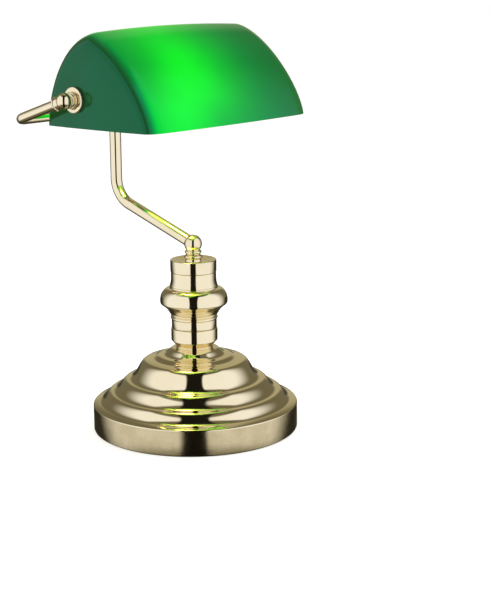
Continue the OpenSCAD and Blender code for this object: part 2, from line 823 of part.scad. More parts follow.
base_shell();
base_weight();
bottom_plate();
felt_pad();
plate_screws();
cord_gland();
terminal_block();
tie_tube();
tie_washers();
tie_nuts();
column_barrel();
barrel_sleeve();
collar_ring();
column_cup();
column_neck();
neck_cap();
base_lead();
spindle();
swivel_washer();
swivel_nut();
arm_tube();
tee_fitting();
yoke_tube_left();
yoke_tube_right();
elbow_left();
elbow_right();
pivot_stud_left();
pivot_stud_right();
flange_left();
flange_right();
inner_washers();
stud_nuts();
holder_cap();
holder_skirt();
holder_core();
holder_shell();
holder_contact();
terminal_screws();
arm_lead();
glass_shade();
shade_bush_left();
shade_bush_right();
bulb_glass();
bulb_cap();
bulb_insulator();
bulb_contact();
bulb_stem();
bulb_filament();
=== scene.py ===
# Looks of the banker desk lamp: turned and bent brass, a green glass shade that is lit from inside,
# and the lampholder and bulb under it. Metres, but the points of turned profiles are in millimetres.

import math

import bpy
from mathutils import Matrix, Vector


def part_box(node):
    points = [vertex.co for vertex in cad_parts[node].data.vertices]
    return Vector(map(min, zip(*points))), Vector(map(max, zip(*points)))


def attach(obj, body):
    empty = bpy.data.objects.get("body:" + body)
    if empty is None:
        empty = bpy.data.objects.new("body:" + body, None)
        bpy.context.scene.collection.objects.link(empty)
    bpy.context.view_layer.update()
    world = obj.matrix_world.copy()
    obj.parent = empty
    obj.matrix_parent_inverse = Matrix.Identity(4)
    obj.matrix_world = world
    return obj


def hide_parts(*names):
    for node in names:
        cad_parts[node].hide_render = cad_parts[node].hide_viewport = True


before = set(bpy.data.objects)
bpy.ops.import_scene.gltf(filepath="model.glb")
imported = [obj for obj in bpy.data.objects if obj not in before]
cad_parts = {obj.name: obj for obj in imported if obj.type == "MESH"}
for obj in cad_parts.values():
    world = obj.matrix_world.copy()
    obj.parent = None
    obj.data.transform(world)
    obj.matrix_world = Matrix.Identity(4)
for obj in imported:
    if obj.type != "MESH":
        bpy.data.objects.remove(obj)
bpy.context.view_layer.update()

MM = 0.001
VIEW_AZIMUTH = math.radians(50.14)
VIEW_ELEVATION = math.radians(12.95)
VIEW_ROLL = math.radians(-0.466)
VIEW_DISTANCE = 1.3597
VIEW_TARGET = Vector((0.0296, -0.0356, 0.1168))
VIEW_LENS = 90.87

# ---------------------------------------------------------------- camera

towards = Vector(
    (
        math.sin(VIEW_AZIMUTH) * math.cos(VIEW_ELEVATION),
        math.cos(VIEW_AZIMUTH) * math.cos(VIEW_ELEVATION),
        -math.sin(VIEW_ELEVATION),
    )
)
camera_data = bpy.data.cameras.new("camera")
camera_data.lens = VIEW_LENS
camera_data.sensor_width = 36
camera = bpy.data.objects.new("camera", camera_data)
bpy.context.scene.collection.objects.link(camera)
turn = towards.to_track_quat("-Z", "Y").to_matrix() @ Matrix.Rotation(VIEW_ROLL, 3, "Z")
camera.matrix_world = Matrix.Translation(VIEW_TARGET - towards * VIEW_DISTANCE) @ turn.to_4x4()
bpy.context.scene.camera = camera

# ---------------------------------------------------------------- node groups


def new_group(name, inputs, outputs):
    """An empty shader group with its sockets: (name, type, default) in, (name, type) out."""
    group = bpy.data.node_groups.new(name, "ShaderNodeTree")
    for label, kind, default in inputs:
        socket = group.interface.new_socket(label, in_out="INPUT", socket_type=kind)
        socket.default_value = default
    for label, kind in outputs:
        group.interface.new_socket(label, in_out="OUTPUT", socket_type=kind)
    return group, group.nodes.new("NodeGroupInput").outputs, group.nodes.new("NodeGroupOutput").inputs


def put(tree, kind, settings=None, **links):
    """A node with its settings, and each named input linked to a socket or set to a value."""
    node = tree.nodes.new(kind)
    for key, value in (settings or {}).items():
        setattr(node, key, value)
    for key, value in links.items():
        by_number = key[0] == "i" and key[1:].isdigit()
        socket = node.inputs[int(key[1:]) if by_number else key.replace("_", " ")]
        if isinstance(value, bpy.types.NodeSocket):
            tree.links.new(value, socket)
        else:
            socket.default_value = value
    return node


def math_node(tree, operation, first, second=0.0, clamp=False):
    settings = {"operation": operation, "use_clamp": clamp}
    return put(tree, "ShaderNodeMath", settings, i0=first, i1=second).outputs[0]


def map_range(tree, value, low, high, to_low=0.0, to_high=1.0, kind="SMOOTHSTEP"):
    return put(
        tree, "ShaderNodeMapRange", {"interpolation_type": kind},
        Value=value, From_Min=low, From_Max=high, To_Min=to_low, To_Max=to_high,
    ).outputs[0]


def scaled_place(tree, scale):
    place = put(tree, "ShaderNodeTexCoord").outputs["Object"]
    return put(tree, "ShaderNodeVectorMath", {"operation": "MULTIPLY"}, i0=place, i1=scale).outputs[0]


def noise(tree, place, scale, detail=3.0, roughness=0.5):
    return put(
        tree, "ShaderNodeTexNoise", Vector=place, Scale=scale, Detail=detail, Roughness=roughness
    ).outputs[0]


def make_handling():
    """Cloudy marks of hands and cloth on a polished surface: 0 is clean."""
    group, given, out = new_group(
        "handling marks", [("Size", "NodeSocketFloat", 40.0), ("Amount", "NodeSocketFloat", 0.5)],
        [("Mask", "NodeSocketFloat")],
    )
    place = put(group, "ShaderNodeTexCoord").outputs["Object"]
    cloud = noise(group, place, given["Size"], 4.0, 0.6)
    patch = map_range(group, cloud, 0.46, 0.7)
    fine = noise(group, place, math_node(group, "MULTIPLY", given["Size"], 9.0), 2.0)
    both = math_node(group, "MULTIPLY", patch, map_range(group, fine, 0.3, 0.7, 0.55, 1.0))
    group.links.new(math_node(group, "MULTIPLY", both, given["Amount"]), out["Mask"])
    return group


def make_hairlines():
    """Fine lines left by polishing or brushing: a height from 0 to 1 and a mask. Spread sets how far
    the lines run along X, Y and Z."""
    group, given, out = new_group(
        "hairlines", [("Spread", "NodeSocketVector", (1.0, 1.0, 1.0)), ("Scale", "NodeSocketFloat", 900.0)],
        [("Height", "NodeSocketFloat"), ("Mask", "NodeSocketFloat")],
    )
    place = put(group, "ShaderNodeTexCoord").outputs["Object"]
    multiply = {"operation": "MULTIPLY"}
    spread = put(group, "ShaderNodeVectorMath", multiply, i0=place, i1=given["Spread"]).outputs[0]
    lines = noise(group, spread, given["Scale"], 5.0, 0.65)
    group.links.new(lines, out["Height"])
    group.links.new(map_range(group, lines, 0.42, 0.62), out["Mask"])
    return group


def make_settled_dust():
    """A thin film of dust on what faces up: a mask from 0 to 1."""
    group, given, out = new_group(
        "settled dust", [("Amount", "NodeSocketFloat", 0.2), ("Size", "NodeSocketFloat", 60.0)],
        [("Mask", "NodeSocketFloat")],
    )
    normal = put(group, "ShaderNodeNewGeometry").outputs["Normal"]
    up = put(group, "ShaderNodeSeparateXYZ", Vector=normal).outputs["Z"]
    place = put(group, "ShaderNodeTexCoord").outputs["Object"]
    cloud = map_range(group, noise(group, place, given["Size"], 5.0, 0.65), 0.35, 0.75, 0.25, 1.0)
    specks = map_range(group, noise(group, place, 2600.0, 1.0), 0.62, 0.72)
    film = math_node(group, "MULTIPLY", map_range(group, up, 0.55, 1.0), cloud)
    settled = math_node(group, "MULTIPLY", specks, map_range(group, up, 0.3, 0.9))
    both = math_node(group, "MAXIMUM", film, settled)
    group.links.new(math_node(group, "MULTIPLY", both, given["Amount"], True), out["Mask"])
    return group


def make_tint_drift():
    """Two tones of one colour that drift into each other over a surface."""
    group, given, out = new_group(
        "tint drift",
        [("First", "NodeSocketColor", (0.8, 0.8, 0.8, 1)), ("Second", "NodeSocketColor", (0.7, 0.7, 0.7, 1)),
         ("Size", "NodeSocketFloat", 20.0)],
        [("Color", "NodeSocketColor")],
    )
    place = put(group, "ShaderNodeTexCoord").outputs["Object"]
    cloud = map_range(group, noise(group, place, given["Size"], 4.0, 0.6), 0.35, 0.65)
    mixed = put(
        group, "ShaderNodeMix", {"data_type": "RGBA"}, i0=cloud, i6=given["First"], i7=given["Second"]
    )
    group.links.new(mixed.outputs[2], out["Color"])
    return group


def make_grain():
    """Cast, moulded or felted grain: a height from 0 to 1."""
    group, given, out = new_group(
        "grain", [("Scale", "NodeSocketFloat", 600.0), ("Fuzz", "NodeSocketFloat", 0.5)],
        [("Height", "NodeSocketFloat")],
    )
    place = put(group, "ShaderNodeTexCoord").outputs["Object"]
    coarse = noise(group, place, given["Scale"], 4.0, 0.6)
    cells = put(group, "ShaderNodeTexVoronoi", Vector=place, Scale=given["Scale"]).outputs["Distance"]
    mixed = put(group, "ShaderNodeMix", {"data_type": "FLOAT"}, i0=given["Fuzz"], i2=cells, i3=coarse)
    group.links.new(mixed.outputs[0], out["Height"])
    return group


def make_painted_lamp_glow():
    """Painted light on the glass from the bulb: 1 at Reach from it, less further off, and dimmed
    by a painted shadow of the lampholder. Spread stretches the distances along X, Y and Z."""
    group, given, out = new_group(
        "painted lamp glow",
        [("Bulb", "NodeSocketVector", (0, 0, 0)), ("Reach", "NodeSocketFloat", 0.05),
         ("Holder Shadow", "NodeSocketFloat", 0.8), ("Spread", "NodeSocketVector", (1.0, 1.0, 1.0))],
        [("Light", "NodeSocketFloat")],
    )
    place = put(group, "ShaderNodeTexCoord").outputs["Object"]
    ray = put(group, "ShaderNodeVectorMath", {"operation": "SUBTRACT"}, i0=place, i1=given["Bulb"]).outputs[0]
    multiply = {"operation": "MULTIPLY"}
    spread = put(group, "ShaderNodeVectorMath", multiply, i0=ray, i1=given["Spread"]).outputs[0]
    distance = put(group, "ShaderNodeVectorMath", {"operation": "LENGTH"}, i0=spread).outputs["Value"]
    near = math_node(group, "POWER", math_node(group, "DIVIDE", given["Reach"], distance), 2.1)
    along = put(group, "ShaderNodeSeparateXYZ", Vector=place).outputs["X"]
    shadow = math_node(group, "MULTIPLY", map_range(group, along, -0.092, -0.103), given["Holder Shadow"])
    lit = math_node(group, "MULTIPLY", near, math_node(group, "SUBTRACT", 1.0, shadow), True)
    group.links.new(lit, out["Light"])
    return group


HANDLING = make_handling()
HAIRLINES = make_hairlines()
DUST = make_settled_dust()
DRIFT = make_tint_drift()
GRAIN = make_grain()
GLOW = make_painted_lamp_glow()


def use(tree, group, **values):
    node = put(tree, "ShaderNodeGroup", {"node_tree": group})
    for key, value in values.items():
        node.inputs[key.replace("_", " ")].default_value = value
    return node.outputs


# ---------------------------------------------------------------- materials


def new_material(name, **fixed):
    """A material and its Principled shader, with the values that are the same all over."""
    material = bpy.data.materials.new(name)
    material.use_nodes = True
    tree = material.node_tree
    shader = tree.nodes["Principled BSDF"]
    for key, value in fixed.items():
        shader.inputs[key.replace("_", " ")].default_value = value
    return material, tree, shader


def colour_of(tree, shader, first, second, size, dust=0.0, dust_colour=(0.62, 0.6, 0.55, 1)):
    """Base colour that drifts between two tones, under a little dust."""
    drift = use(tree, DRIFT, First=(*first, 1), Second=(*second, 1), Size=size)["Color"]
    if dust:
        film = use(tree, DUST, Amount=dust)["Mask"]
        rgba = {"data_type": "RGBA"}
        drift = put(tree, "ShaderNodeMix", rgba, i0=film, i6=drift, i7=dust_colour).outputs[2]
    tree.links.new(drift, shader.inputs["Base Color"])


def roughness_of(tree, shader, low, high, mask):
    value = put(tree, "ShaderNodeMapRange", Value=mask, To_Min=low, To_Max=high).outputs[0]
    tree.links.new(value, shader.inputs["Roughness"])


def bump_of(tree, shader, height, strength, distance):
    bump = put(tree, "ShaderNodeBump", Strength=strength, Distance=distance, Height=height)
    tree.links.new(bump.outputs["Normal"], shader.inputs["Normal"])


def polished_brass(name, first=(0.85, 0.745, 0.47), second=(0.82, 0.71, 0.43), ripple=0.08):
    material, tree, shader = new_material(name, Metallic=1.0, Coat_Weight=0.25, Coat_Roughness=0.04)
    colour_of(tree, shader, first, second, 22.0, dust=0.05, dust_colour=(0.7, 0.64, 0.5, 1))
    marks = use(tree, HANDLING, Size=34.0, Amount=0.8)["Mask"]
    fine = use(tree, HAIRLINES, Spread=(0.35, 0.35, 1.6), Scale=1500.0)
    worn = math_node(tree, "MULTIPLY", fine["Mask"], 0.22)
    roughness_of(tree, shader, 0.03, 0.13, math_node(tree, "ADD", marks, worn, True))
    waves = noise(tree, scaled_place(tree, (1.0, 1.0, 1.0)), 46.0, 1.0, 0.3)
    height = math_node(tree, "ADD", waves, math_node(tree, "MULTIPLY", fine["Height"], 0.02))
    bump_of(tree, shader, height, ripple, 0.0006)
    return material


def brushed_brass(name):
    material, tree, shader = new_material(name, Metallic=1.0, Coat_Weight=0.1, Coat_Roughness=0.1)
    colour_of(tree, shader, (0.6, 0.5, 0.27), (0.52, 0.43, 0.22), 60.0)
    fine = use(tree, HAIRLINES, Spread=(0.012, 0.012, 2.6), Scale=1500.0)
    marks = use(tree, HANDLING, Size=30.0, Amount=0.6)["Mask"]
    lines = math_node(tree, "MULTIPLY", fine["Height"], 0.8)
    mixed = math_node(tree, "ADD", lines, math_node(tree, "MULTIPLY", marks, 0.35), True)
    roughness_of(tree, shader, 0.06, 0.2, mixed)
    bump_of(tree, shader, fine["Height"], 0.5, 0.0001)
    return material


def zinc_steel(name, first=(0.62, 0.63, 0.65), second=(0.5, 0.51, 0.54)):
    material, tree, shader = new_material(name, Metallic=1.0)
    colour_of(tree, shader, first, second, 90.0)
    fine = use(tree, HAIRLINES, Spread=(1.0, 1.0, 0.5), Scale=1100.0)
    roughness_of(tree, shader, 0.24, 0.46, fine["Mask"])
    bump_of(tree, shader, fine["Height"], 0.25, 0.00008)
    return material


def moulded(name, first, second, low, high, scale, strength, fuzz=0.5, dust=0.0, **fixed):
    """Rubber, ceramic, cast iron, felt and the like: a drifting colour over a fine grain."""
    material, tree, shader = new_material(name, **fixed)
    colour_of(tree, shader, first, second, 70.0, dust=dust)
    grain = use(tree, GRAIN, Scale=scale, Fuzz=fuzz)["Height"]
    marks = use(tree, HANDLING, Size=55.0, Amount=1.0)["Mask"]
    mixed = math_node(tree, "ADD", math_node(tree, "MULTIPLY", grain, 0.5), marks, True)
    roughness_of(tree, shader, low, high, mixed)
    bump_of(tree, shader, grain, strength, 0.0002)
    return material


def ramp(tree, value, stops):
    node = put(tree, "ShaderNodeValToRGB", Fac=value)
    points = node.color_ramp.elements
    while len(points) < len(stops):
        points.new(0.5)
    for point, (place, colour) in zip(points, stops):
        point.position = place
        point.color = (*colour, 1)
    return node.outputs["Color"]


# The painted lit patch of the glass, from the middle of the bulb: its middle, reach and spread, and a weaker
#  painted patch of light low down at the front. The end face lies in a painted shadow of the lampholder.
PATCH_OFFSET = Vector((-0.02, 0.065, 0.008))
PATCH_REACH = 0.0474
PATCH_SPREAD = (1.0, 0.37, 1.09)
SPILL_OFFSET = Vector((-0.064, -0.078, -0.022))
SPILL_REACH = 0.062
END_SHADOW_X = (-0.1025, -0.094)


def shade_green(name, bulb):
    """The glossy outer skin of green glass, glowing with painted light from the bulb."""
    material, tree, shader = new_material(
        name, IOR=1.5, Specular_IOR_Level=0.5, Specular_Tint=(0.03, 1.0, 0.6, 1), Emission_Strength=1.0
    )
    colour_of(
        tree, shader, (0.001, 0.055, 0.014), (0.002, 0.065, 0.02), 14.0,
        dust=0.015, dust_colour=(0.1, 0.3, 0.2, 1),
    )
    light = use(
        tree, GLOW, Bulb=bulb + PATCH_OFFSET, Reach=PATCH_REACH, Holder_Shadow=0.96, Spread=PATCH_SPREAD
    )["Light"]
    place = put(tree, "ShaderNodeTexCoord").outputs["Object"]
    # a weaker painted pool of light low down at the front, faded out on the end face
    low_front = put(
        tree, "ShaderNodeVectorMath", {"operation": "DISTANCE"},
        i0=place, i1=bulb + SPILL_OFFSET,
    )
    spill = map_range(tree, low_front.outputs["Value"], SPILL_REACH, 0.004, 0.0, 0.42)
    along = put(tree, "ShaderNodeSeparateXYZ", Vector=place).outputs["X"]
    inward = map_range(tree, along, *END_SHADOW_X)
    spill = math_node(tree, "MULTIPLY", spill, inward)
    light = math_node(tree, "ADD", math_node(tree, "MULTIPLY", light, 0.93), spill, True)
    cloud = noise(tree, scaled_place(tree, (1.0, 1.6, 1.6)), 16.0, 3.0, 0.55)
    unevenness = put(tree, "ShaderNodeMapRange", Value=cloud, To_Min=0.86, To_Max=1.14).outputs[0]
    uneven = math_node(tree, "MULTIPLY", light, unevenness)
    # painted light: the glow colour, from the dark end face to full green next to the bulb
    glow = ramp(
        tree, uneven,
        [(0.0, (0.01, 0.01, 0.002)), (0.2, (0.002, 0.17, 0.02)), (0.5, (0.0, 0.46, 0.008)),
        (0.78, (0.0, 0.78, 0.0)),
         (1.0, (0.0, 1.0, 0.0))],
    )
    tree.links.new(glow, shader.inputs["Emission Color"])
    marks = use(tree, HANDLING, Size=26.0, Amount=0.7)["Mask"]
    roughness_of(tree, shader, 0.06, 0.16, marks)
    waves = noise(tree, scaled_place(tree, (1.0, 1.0, 1.0)), 30.0, 2.0, 0.4)
    bump_of(tree, shader, waves, 0.16, 0.0016)
    return material


def shade_inside(name, bulb):
    """The pale inner face of the glass, next to the bulb, glowing with painted light from it and dimmed by a
    painted shadow of the lampholder.
    """
    material, tree, shader = new_material(name, IOR=1.5, Emission_Strength=1.0)
    colour_of(tree, shader, (0.22, 0.5, 0.16), (0.18, 0.44, 0.14), 30.0)
    light = use(tree, GLOW, Bulb=bulb, Reach=0.07, Holder_Shadow=0.6)["Light"]
    glow = ramp(tree, light, [(0.0, (0.02, 0.05, 0.01)), (0.45, (0.08, 0.13, 0.015)),
        (1.0, (0.5, 0.48, 0.08))])
    tree.links.new(glow, shader.inputs["Emission Color"])
    grain = use(tree, GRAIN, Scale=240.0, Fuzz=0.8)["Height"]
    roughness_of(tree, shader, 0.22, 0.36, grain)
    bump_of(tree, shader, grain, 0.08, 0.0003)
    return material


def lit_frosting(name, middle, axis_low, axis_high):
    """Frosted bulb glass with the filament glowing behind it."""
    material, tree, shader = new_material(name, IOR=1.5, Emission_Strength=12.0)
    colour_of(tree, shader, (0.9, 0.86, 0.76), (0.86, 0.82, 0.7), 50.0)
    place = put(tree, "ShaderNodeTexCoord").outputs["Object"]
    along = put(tree, "ShaderNodeSeparateXYZ", Vector=place).outputs["X"]
    globe = map_range(tree, along, axis_low, axis_high)
    ray = put(tree, "ShaderNodeVectorMath", {"operation": "DISTANCE"}, i0=place, i1=middle).outputs["Value"]
    hot = math_node(tree, "MULTIPLY", globe, map_range(tree, ray, 0.045, 0.022, 0.55, 1.0))
    glow = ramp(tree, hot, [(0.0, (0.1, 0.05, 0.012)), (0.5, (0.4, 0.22, 0.07)), (1.0, (1.0, 0.62, 0.26))])
    tree.links.new(glow, shader.inputs["Emission Color"])
    grain = use(tree, GRAIN, Scale=900.0, Fuzz=0.6)["Height"]
    roughness_of(tree, shader, 0.35, 0.55, grain)
    bump_of(tree, shader, grain, 0.1, 0.0001)
    return material


def clear_glass(name):
    material, tree, shader = new_material(name, Transmission_Weight=1.0, IOR=1.5)
    colour_of(tree, shader, (0.95, 0.97, 0.96), (0.9, 0.94, 0.93), 80.0)
    marks = use(tree, HANDLING, Size=60.0, Amount=1.0)["Mask"]
    roughness_of(tree, shader, 0.02, 0.1, marks)
    return material


globe_low, globe_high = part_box("bulb_glass")
GLOBE_R = (globe_high.y - globe_low.y) / 2
BULB = Vector((globe_high.x - GLOBE_R, (globe_high.y + globe_low.y) / 2, (globe_high.z + globe_low.z) / 2))

BRASS = polished_brass("polished_brass")
BRASS_DEEP = polished_brass("polished_brass_fitting", (0.85, 0.74, 0.46), (0.82, 0.7, 0.42), 0.05)
BRUSHED = brushed_brass("brushed_brass")
STEEL = zinc_steel("zinc_plated_steel")
NICKEL = zinc_steel("nickel_cap", (0.7, 0.68, 0.64), (0.6, 0.58, 0.54))
RUBBER = moulded("black_rubber", (0.018, 0.018, 0.02), (0.03, 0.03, 0.032), 0.5, 0.75, 900.0, 0.3, dust=0.06)
LEAD = moulded("black_lead", (0.015, 0.015, 0.016), (0.022, 0.022, 0.024), 0.38, 0.55, 1400.0, 0.2)
CERAMIC = moulded("white_ceramic", (0.8, 0.79, 0.74), (0.74, 0.73, 0.67), 0.18, 0.34, 300.0, 0.1,
    Coat_Weight=0.5)
IRON = moulded("cast_iron", (0.045, 0.045, 0.05), (0.07, 0.065, 0.062), 0.55, 0.8, 420.0, 0.8, Metallic=0.3)
FELT = moulded("green_felt", (0.02, 0.07, 0.04), (0.03, 0.09, 0.05), 0.85, 1.0, 1800.0, 1.0, 0.3,
    Sheen_Weight=0.6)
VITRITE = moulded("black_glass_insulator", (0.01, 0.01, 0.014), (0.02, 0.018, 0.03), 0.08, 0.2, 200.0, 0.05)
GREEN = shade_green("shade_glass_green", BULB)
INSIDE = shade_inside("shade_glass_inner_face", BULB)
FROSTED = lit_frosting("frosted_bulb_glass", BULB, globe_low.x, BULB.x - 0.4 * GLOBE_R)
CLEAR = clear_glass("clear_stem_glass")

# ---------------------------------------------------------------- tools for new pieces


def deselect():
    bpy.ops.object.select_all(action="DESELECT")


def start_piece(name, obj):
    obj.name = name
    obj.data.name = name
    bpy.ops.object.transform_apply(location=True, rotation=True, scale=True)
    return obj


def apply_all(obj):
    bpy.context.view_layer.objects.active = obj
    for modifier in list(obj.modifiers):
        bpy.ops.object.modifier_apply(modifier=modifier.name)


def soften(obj, width, angle=32, segments=2):
    """Rounds the edges that are sharper than angle."""
    edge = obj.modifiers.new("edge", "BEVEL")
    edge.width = width * MM
    edge.segments = segments
    edge.limit_method = "ANGLE"
    edge.angle_limit = math.radians(angle)
    edge.use_clamp_overlap = True
    apply_all(obj)


def smooth(obj, angle=38):
    deselect()
    obj.select_set(True)
    bpy.context.view_layer.objects.active = obj
    bpy.ops.object.shade_smooth_by_angle(angle=math.radians(angle))


def place_mesh(obj, matrix):
    obj.data.transform(matrix)
    obj.data.update()
    return obj


def finish_piece(obj, material, body, nodes, edge=0.25):
    """Edges, shading, material, and the body and CAD nodes that the piece belongs to."""
    if edge:
        soften(obj, edge)
    if material:
        obj.data.materials.clear()
        obj.data.materials.append(material)
    smooth(obj)
    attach(obj, body)
    if nodes:
        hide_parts(*nodes)
    return obj


POLE = 0.01


def turned(name, profile, sides=96):
    """A closed turned section of (radius, height) points: one ring is extruded, scaled and lifted
    from point to point, and the last point joins the first unless both lie on the axis."""
    deselect()
    points = [(max(r, POLE), z) for r, z in profile]
    on_axis = profile[0][0] == 0 and profile[-1][0] == 0
    if not on_axis:
        points.append(points[0])
    bpy.ops.mesh.primitive_circle_add(
        vertices=sides, radius=points[0][0] * MM, fill_type="NOTHING", location=(0, 0, points[0][1] * MM)
    )
    obj = start_piece(name, bpy.context.object)
    bpy.ops.object.mode_set(mode="EDIT")
    bpy.ops.mesh.select_all(action="SELECT")
    for (r, z), (next_r, next_z) in zip(points, points[1:]):
        bpy.ops.mesh.extrude_region_move(TRANSFORM_OT_translate={"value": (0, 0, (next_z - z) * MM)})
        if next_r != r:
            bpy.ops.transform.resize(value=(next_r / r, next_r / r, 1), center_override=(0, 0, next_z * MM))
    bpy.ops.mesh.select_all(action="SELECT")
    bpy.ops.mesh.remove_doubles(threshold=2.2 * POLE * MM)
    bpy.ops.mesh.normals_make_consistent(inside=False)
    bpy.ops.object.mode_set(mode="OBJECT")
    return obj


def joined(name, parts):
    deselect()
    for part in parts:
        part.select_set(True)
    bpy.context.view_layer.objects.active = parts[0]
    bpy.ops.object.join()
    parts[0].name = name
    return parts[0]


def arc(middle_r, middle_z, radius, start, stop, steps=8):
    """Points of a bead, from one angle to the other; 0 points outwards and 90 up."""
    return [
        (
            middle_r + radius * math.cos(math.radians(start + (stop - start) * i / steps)),
            middle_z + radius * math.sin(math.radians(start + (stop - start) * i / steps)),
        )
        for i in range(steps + 1)
    ]


def aim(direction, at):
    """Matrix that stands a +Z shape along direction, at a point in metres."""
    return Matrix.Translation(at) @ Vector(direction).to_track_quat("Z", "Y").to_matrix().to_4x4()


def bent_tube(name, start, direction, radius, moves, sides=44):
    """A round tube: a ring is extruded along straight runs and spun round bends."""
    deselect()
    start, direction = Vector(start), Vector(direction).normalized()
    bpy.ops.mesh.primitive_circle_add(
        vertices=sides, radius=radius, fill_type="NOTHING", location=start,
        rotation=direction.to_track_quat("Z", "X").to_euler(),
    )
    obj = start_piece(name, bpy.context.object)
    bpy.ops.object.mode_set(mode="EDIT")
    bpy.ops.mesh.select_all(action="SELECT")
    here = start.copy()
    for length, new_direction, bend_r in moves:
        bpy.ops.mesh.extrude_region_move(TRANSFORM_OT_translate={"value": direction * length})
        here += direction * length
        if new_direction is None:
            continue
        new_direction = Vector(new_direction).normalized()
        axis = direction.cross(new_direction).normalized()
        angle = direction.angle(new_direction)
        centre = here + axis.cross(direction) * bend_r
        steps = max(8, int(math.degrees(angle) / 5))
        bpy.ops.mesh.spin(steps=steps, angle=-angle, center=centre, axis=axis, dupli=False)
        here = centre + Matrix.Rotation(angle, 3, axis) @ (here - centre)
        direction = new_direction
    bpy.ops.mesh.select_all(action="SELECT")
    bpy.ops.mesh.remove_doubles(threshold=1e-6)
    bpy.ops.mesh.fill_holes(sides=0)
    bpy.ops.mesh.select_all(action="SELECT")
    bpy.ops.mesh.normals_make_consistent(inside=False)
    bpy.ops.object.mode_set(mode="OBJECT")
    return obj


# ---------------------------------------------------------------- base

cover_low, cover_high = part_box("base_shell")
BAND_R = cover_high.y / MM
TOP_Z = cover_high.z / MM
FOOT_Z = cover_low.z / MM
BAND_Z = 24.2
BAND_WALL = 1.2
TUBE_HOLE_R = 5.4

# radius, height and swell of each tier of the cover, from the column outwards
TIERS = [
    (18.5, TOP_Z, 0.7), (29.5, 67.8, 0.7), (40, 64.4, 0), (43, 63.6, 0.8),
    (60.5, 46, 0.7), (75, 35.1, 0.7), (87.5, 25.7, 0),
]


def cover_line(steps):
    points = []
    for (r, z, swell), (next_r, next_z, _) in zip(TIERS, TIERS[1:]):
        count = steps if swell else 2
        for i in range(count):
            t = i / count
            drop = t - swell * math.sin(2 * math.pi * t) / (2 * math.pi)
            points.append((r + (next_r - r) * t, z + (next_z - z) * drop))
    return points + [TIERS[-1][:2]]


outer_line = cover_line(14)
inner_line = [(r - 0.9, z - 1.1) for r, z in cover_line(6)]
cover = turned(
    "base_cover",
    [(TUBE_HOLE_R, TOP_Z)] + outer_line
    + arc(BAND_R - 1.5, BAND_Z - 1.5, 1.5, 75, 0, 5)
    + [(BAND_R, FOOT_Z + 0.9), (BAND_R - 0.5, FOOT_Z), (BAND_R - BAND_WALL, FOOT_Z),
    (BAND_R - BAND_WALL, BAND_Z - 2.6)]
    + inner_line[::-1] + [(TUBE_HOLE_R, TOP_Z - 1.3)],
    sides=160,
)
finish_piece(cover, BRASS, "base", ["base_shell"], edge=0)
cover.data.materials.append(BRUSHED)
for face in cover.data.polygons:
    middle = face.center
    if middle.z < (BAND_Z - 1.2) * MM and math.hypot(middle.x, middle.y) > (BAND_R - 0.7) * MM:
        face.material_index = 1

gland_low, gland_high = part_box("cord_gland")
gland_at = Vector((0, BAND_R * MM, (gland_low.z + gland_high.z) / 2))
gland = turned(
    "cord_gland_sleeve",
    [(3.6, -3.8), (5.9, -3.8), (5.9, -3.4), (7.6, -3.4), (7.6, -1.6), (5.9, -1.6), (5.9, 0.4), (7.7, 0.4),
    (8, 0.8),
     (8, 1.5), (7.5, 2), (6.4, 2), (4.2, 2), (3.6, 1.5)],
    sides=64,
)
place_mesh(gland, aim((0, 1, 0), gland_at))
finish_piece(gland, RUBBER, "base", ["cord_gland"], edge=0.2)

# ---------------------------------------------------------------- column


def column_piece(name, profile, node, edge=0.3, body="base", material=BRASS):
    return finish_piece(turned(name, profile), material, body, [node], edge)


barrel_low, barrel_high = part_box("column_barrel")
B0, B1, BR = barrel_low.z / MM, barrel_high.z / MM, barrel_high.x / MM
column_piece(
    "column_barrel_turning",
    [(5.4, B0), (16.8, B0), (16.8, B0 + 2.4), (17.6, B0 + 3), (BR - 0.9, B0 + 6.3)]
    + arc(BR - 0.8, B0 + 7.4, 0.8, -40, 10, 4)
    + [(BR, B1 - 0.9), (BR - 0.15, B1 - 0.35), (BR - 0.5, B1), (BR - 2.2, B1), (BR - 2.2, B0 + 8),
    (15, B0 + 2), (5.4, B0 + 2)],
    "column_barrel",
)
sleeve_low, sleeve_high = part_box("barrel_sleeve")
S0, S1, SR = sleeve_low.z / MM, sleeve_high.z / MM, sleeve_high.x / MM
column_piece(
    "barrel_sleeve_turning",
    [(SR - 1.6, S0), (SR - 1, S0), (SR - 0.3, S0 + 0.25), (SR, S0 + 0.9), (SR, S1), (SR - 1.6, S1)],
    "barrel_sleeve", edge=0.15,
)
ring_low, ring_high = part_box("collar_ring")
R0, R1 = ring_low.z / MM, ring_high.z / MM
column_piece(
    "collar_ring_turning",
    [(SR - 1.6, R0), (SR - 0.1, R0)] + arc(SR - 0.5, R0 + 1.5, 1.4, -70, 70, 8) + [(SR + 0.05, R0 + 3.0)]
    + arc(SR - 0.3, R1 - 1.1, 1.05, -60, 70, 8) + [(SR + 0.05, R1), (SR - 1.6, R1)],
    "collar_ring", edge=0,
)
cup_low, cup_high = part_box("column_cup")
C0, C1, CR = cup_low.z / MM, cup_high.z / MM, cup_high.x / MM
CUP_TOP_R = 21.6
CUP_WIDE_Z = C0 + 11.6
swell_line = [
    (CUP_TOP_R + (CR - CUP_TOP_R) * math.cos(math.radians(a)),
    CUP_WIDE_Z + (C1 - 1.4 - CUP_WIDE_Z) * math.sin(math.radians(a)))
    for a in range(0, 85, 6)
]
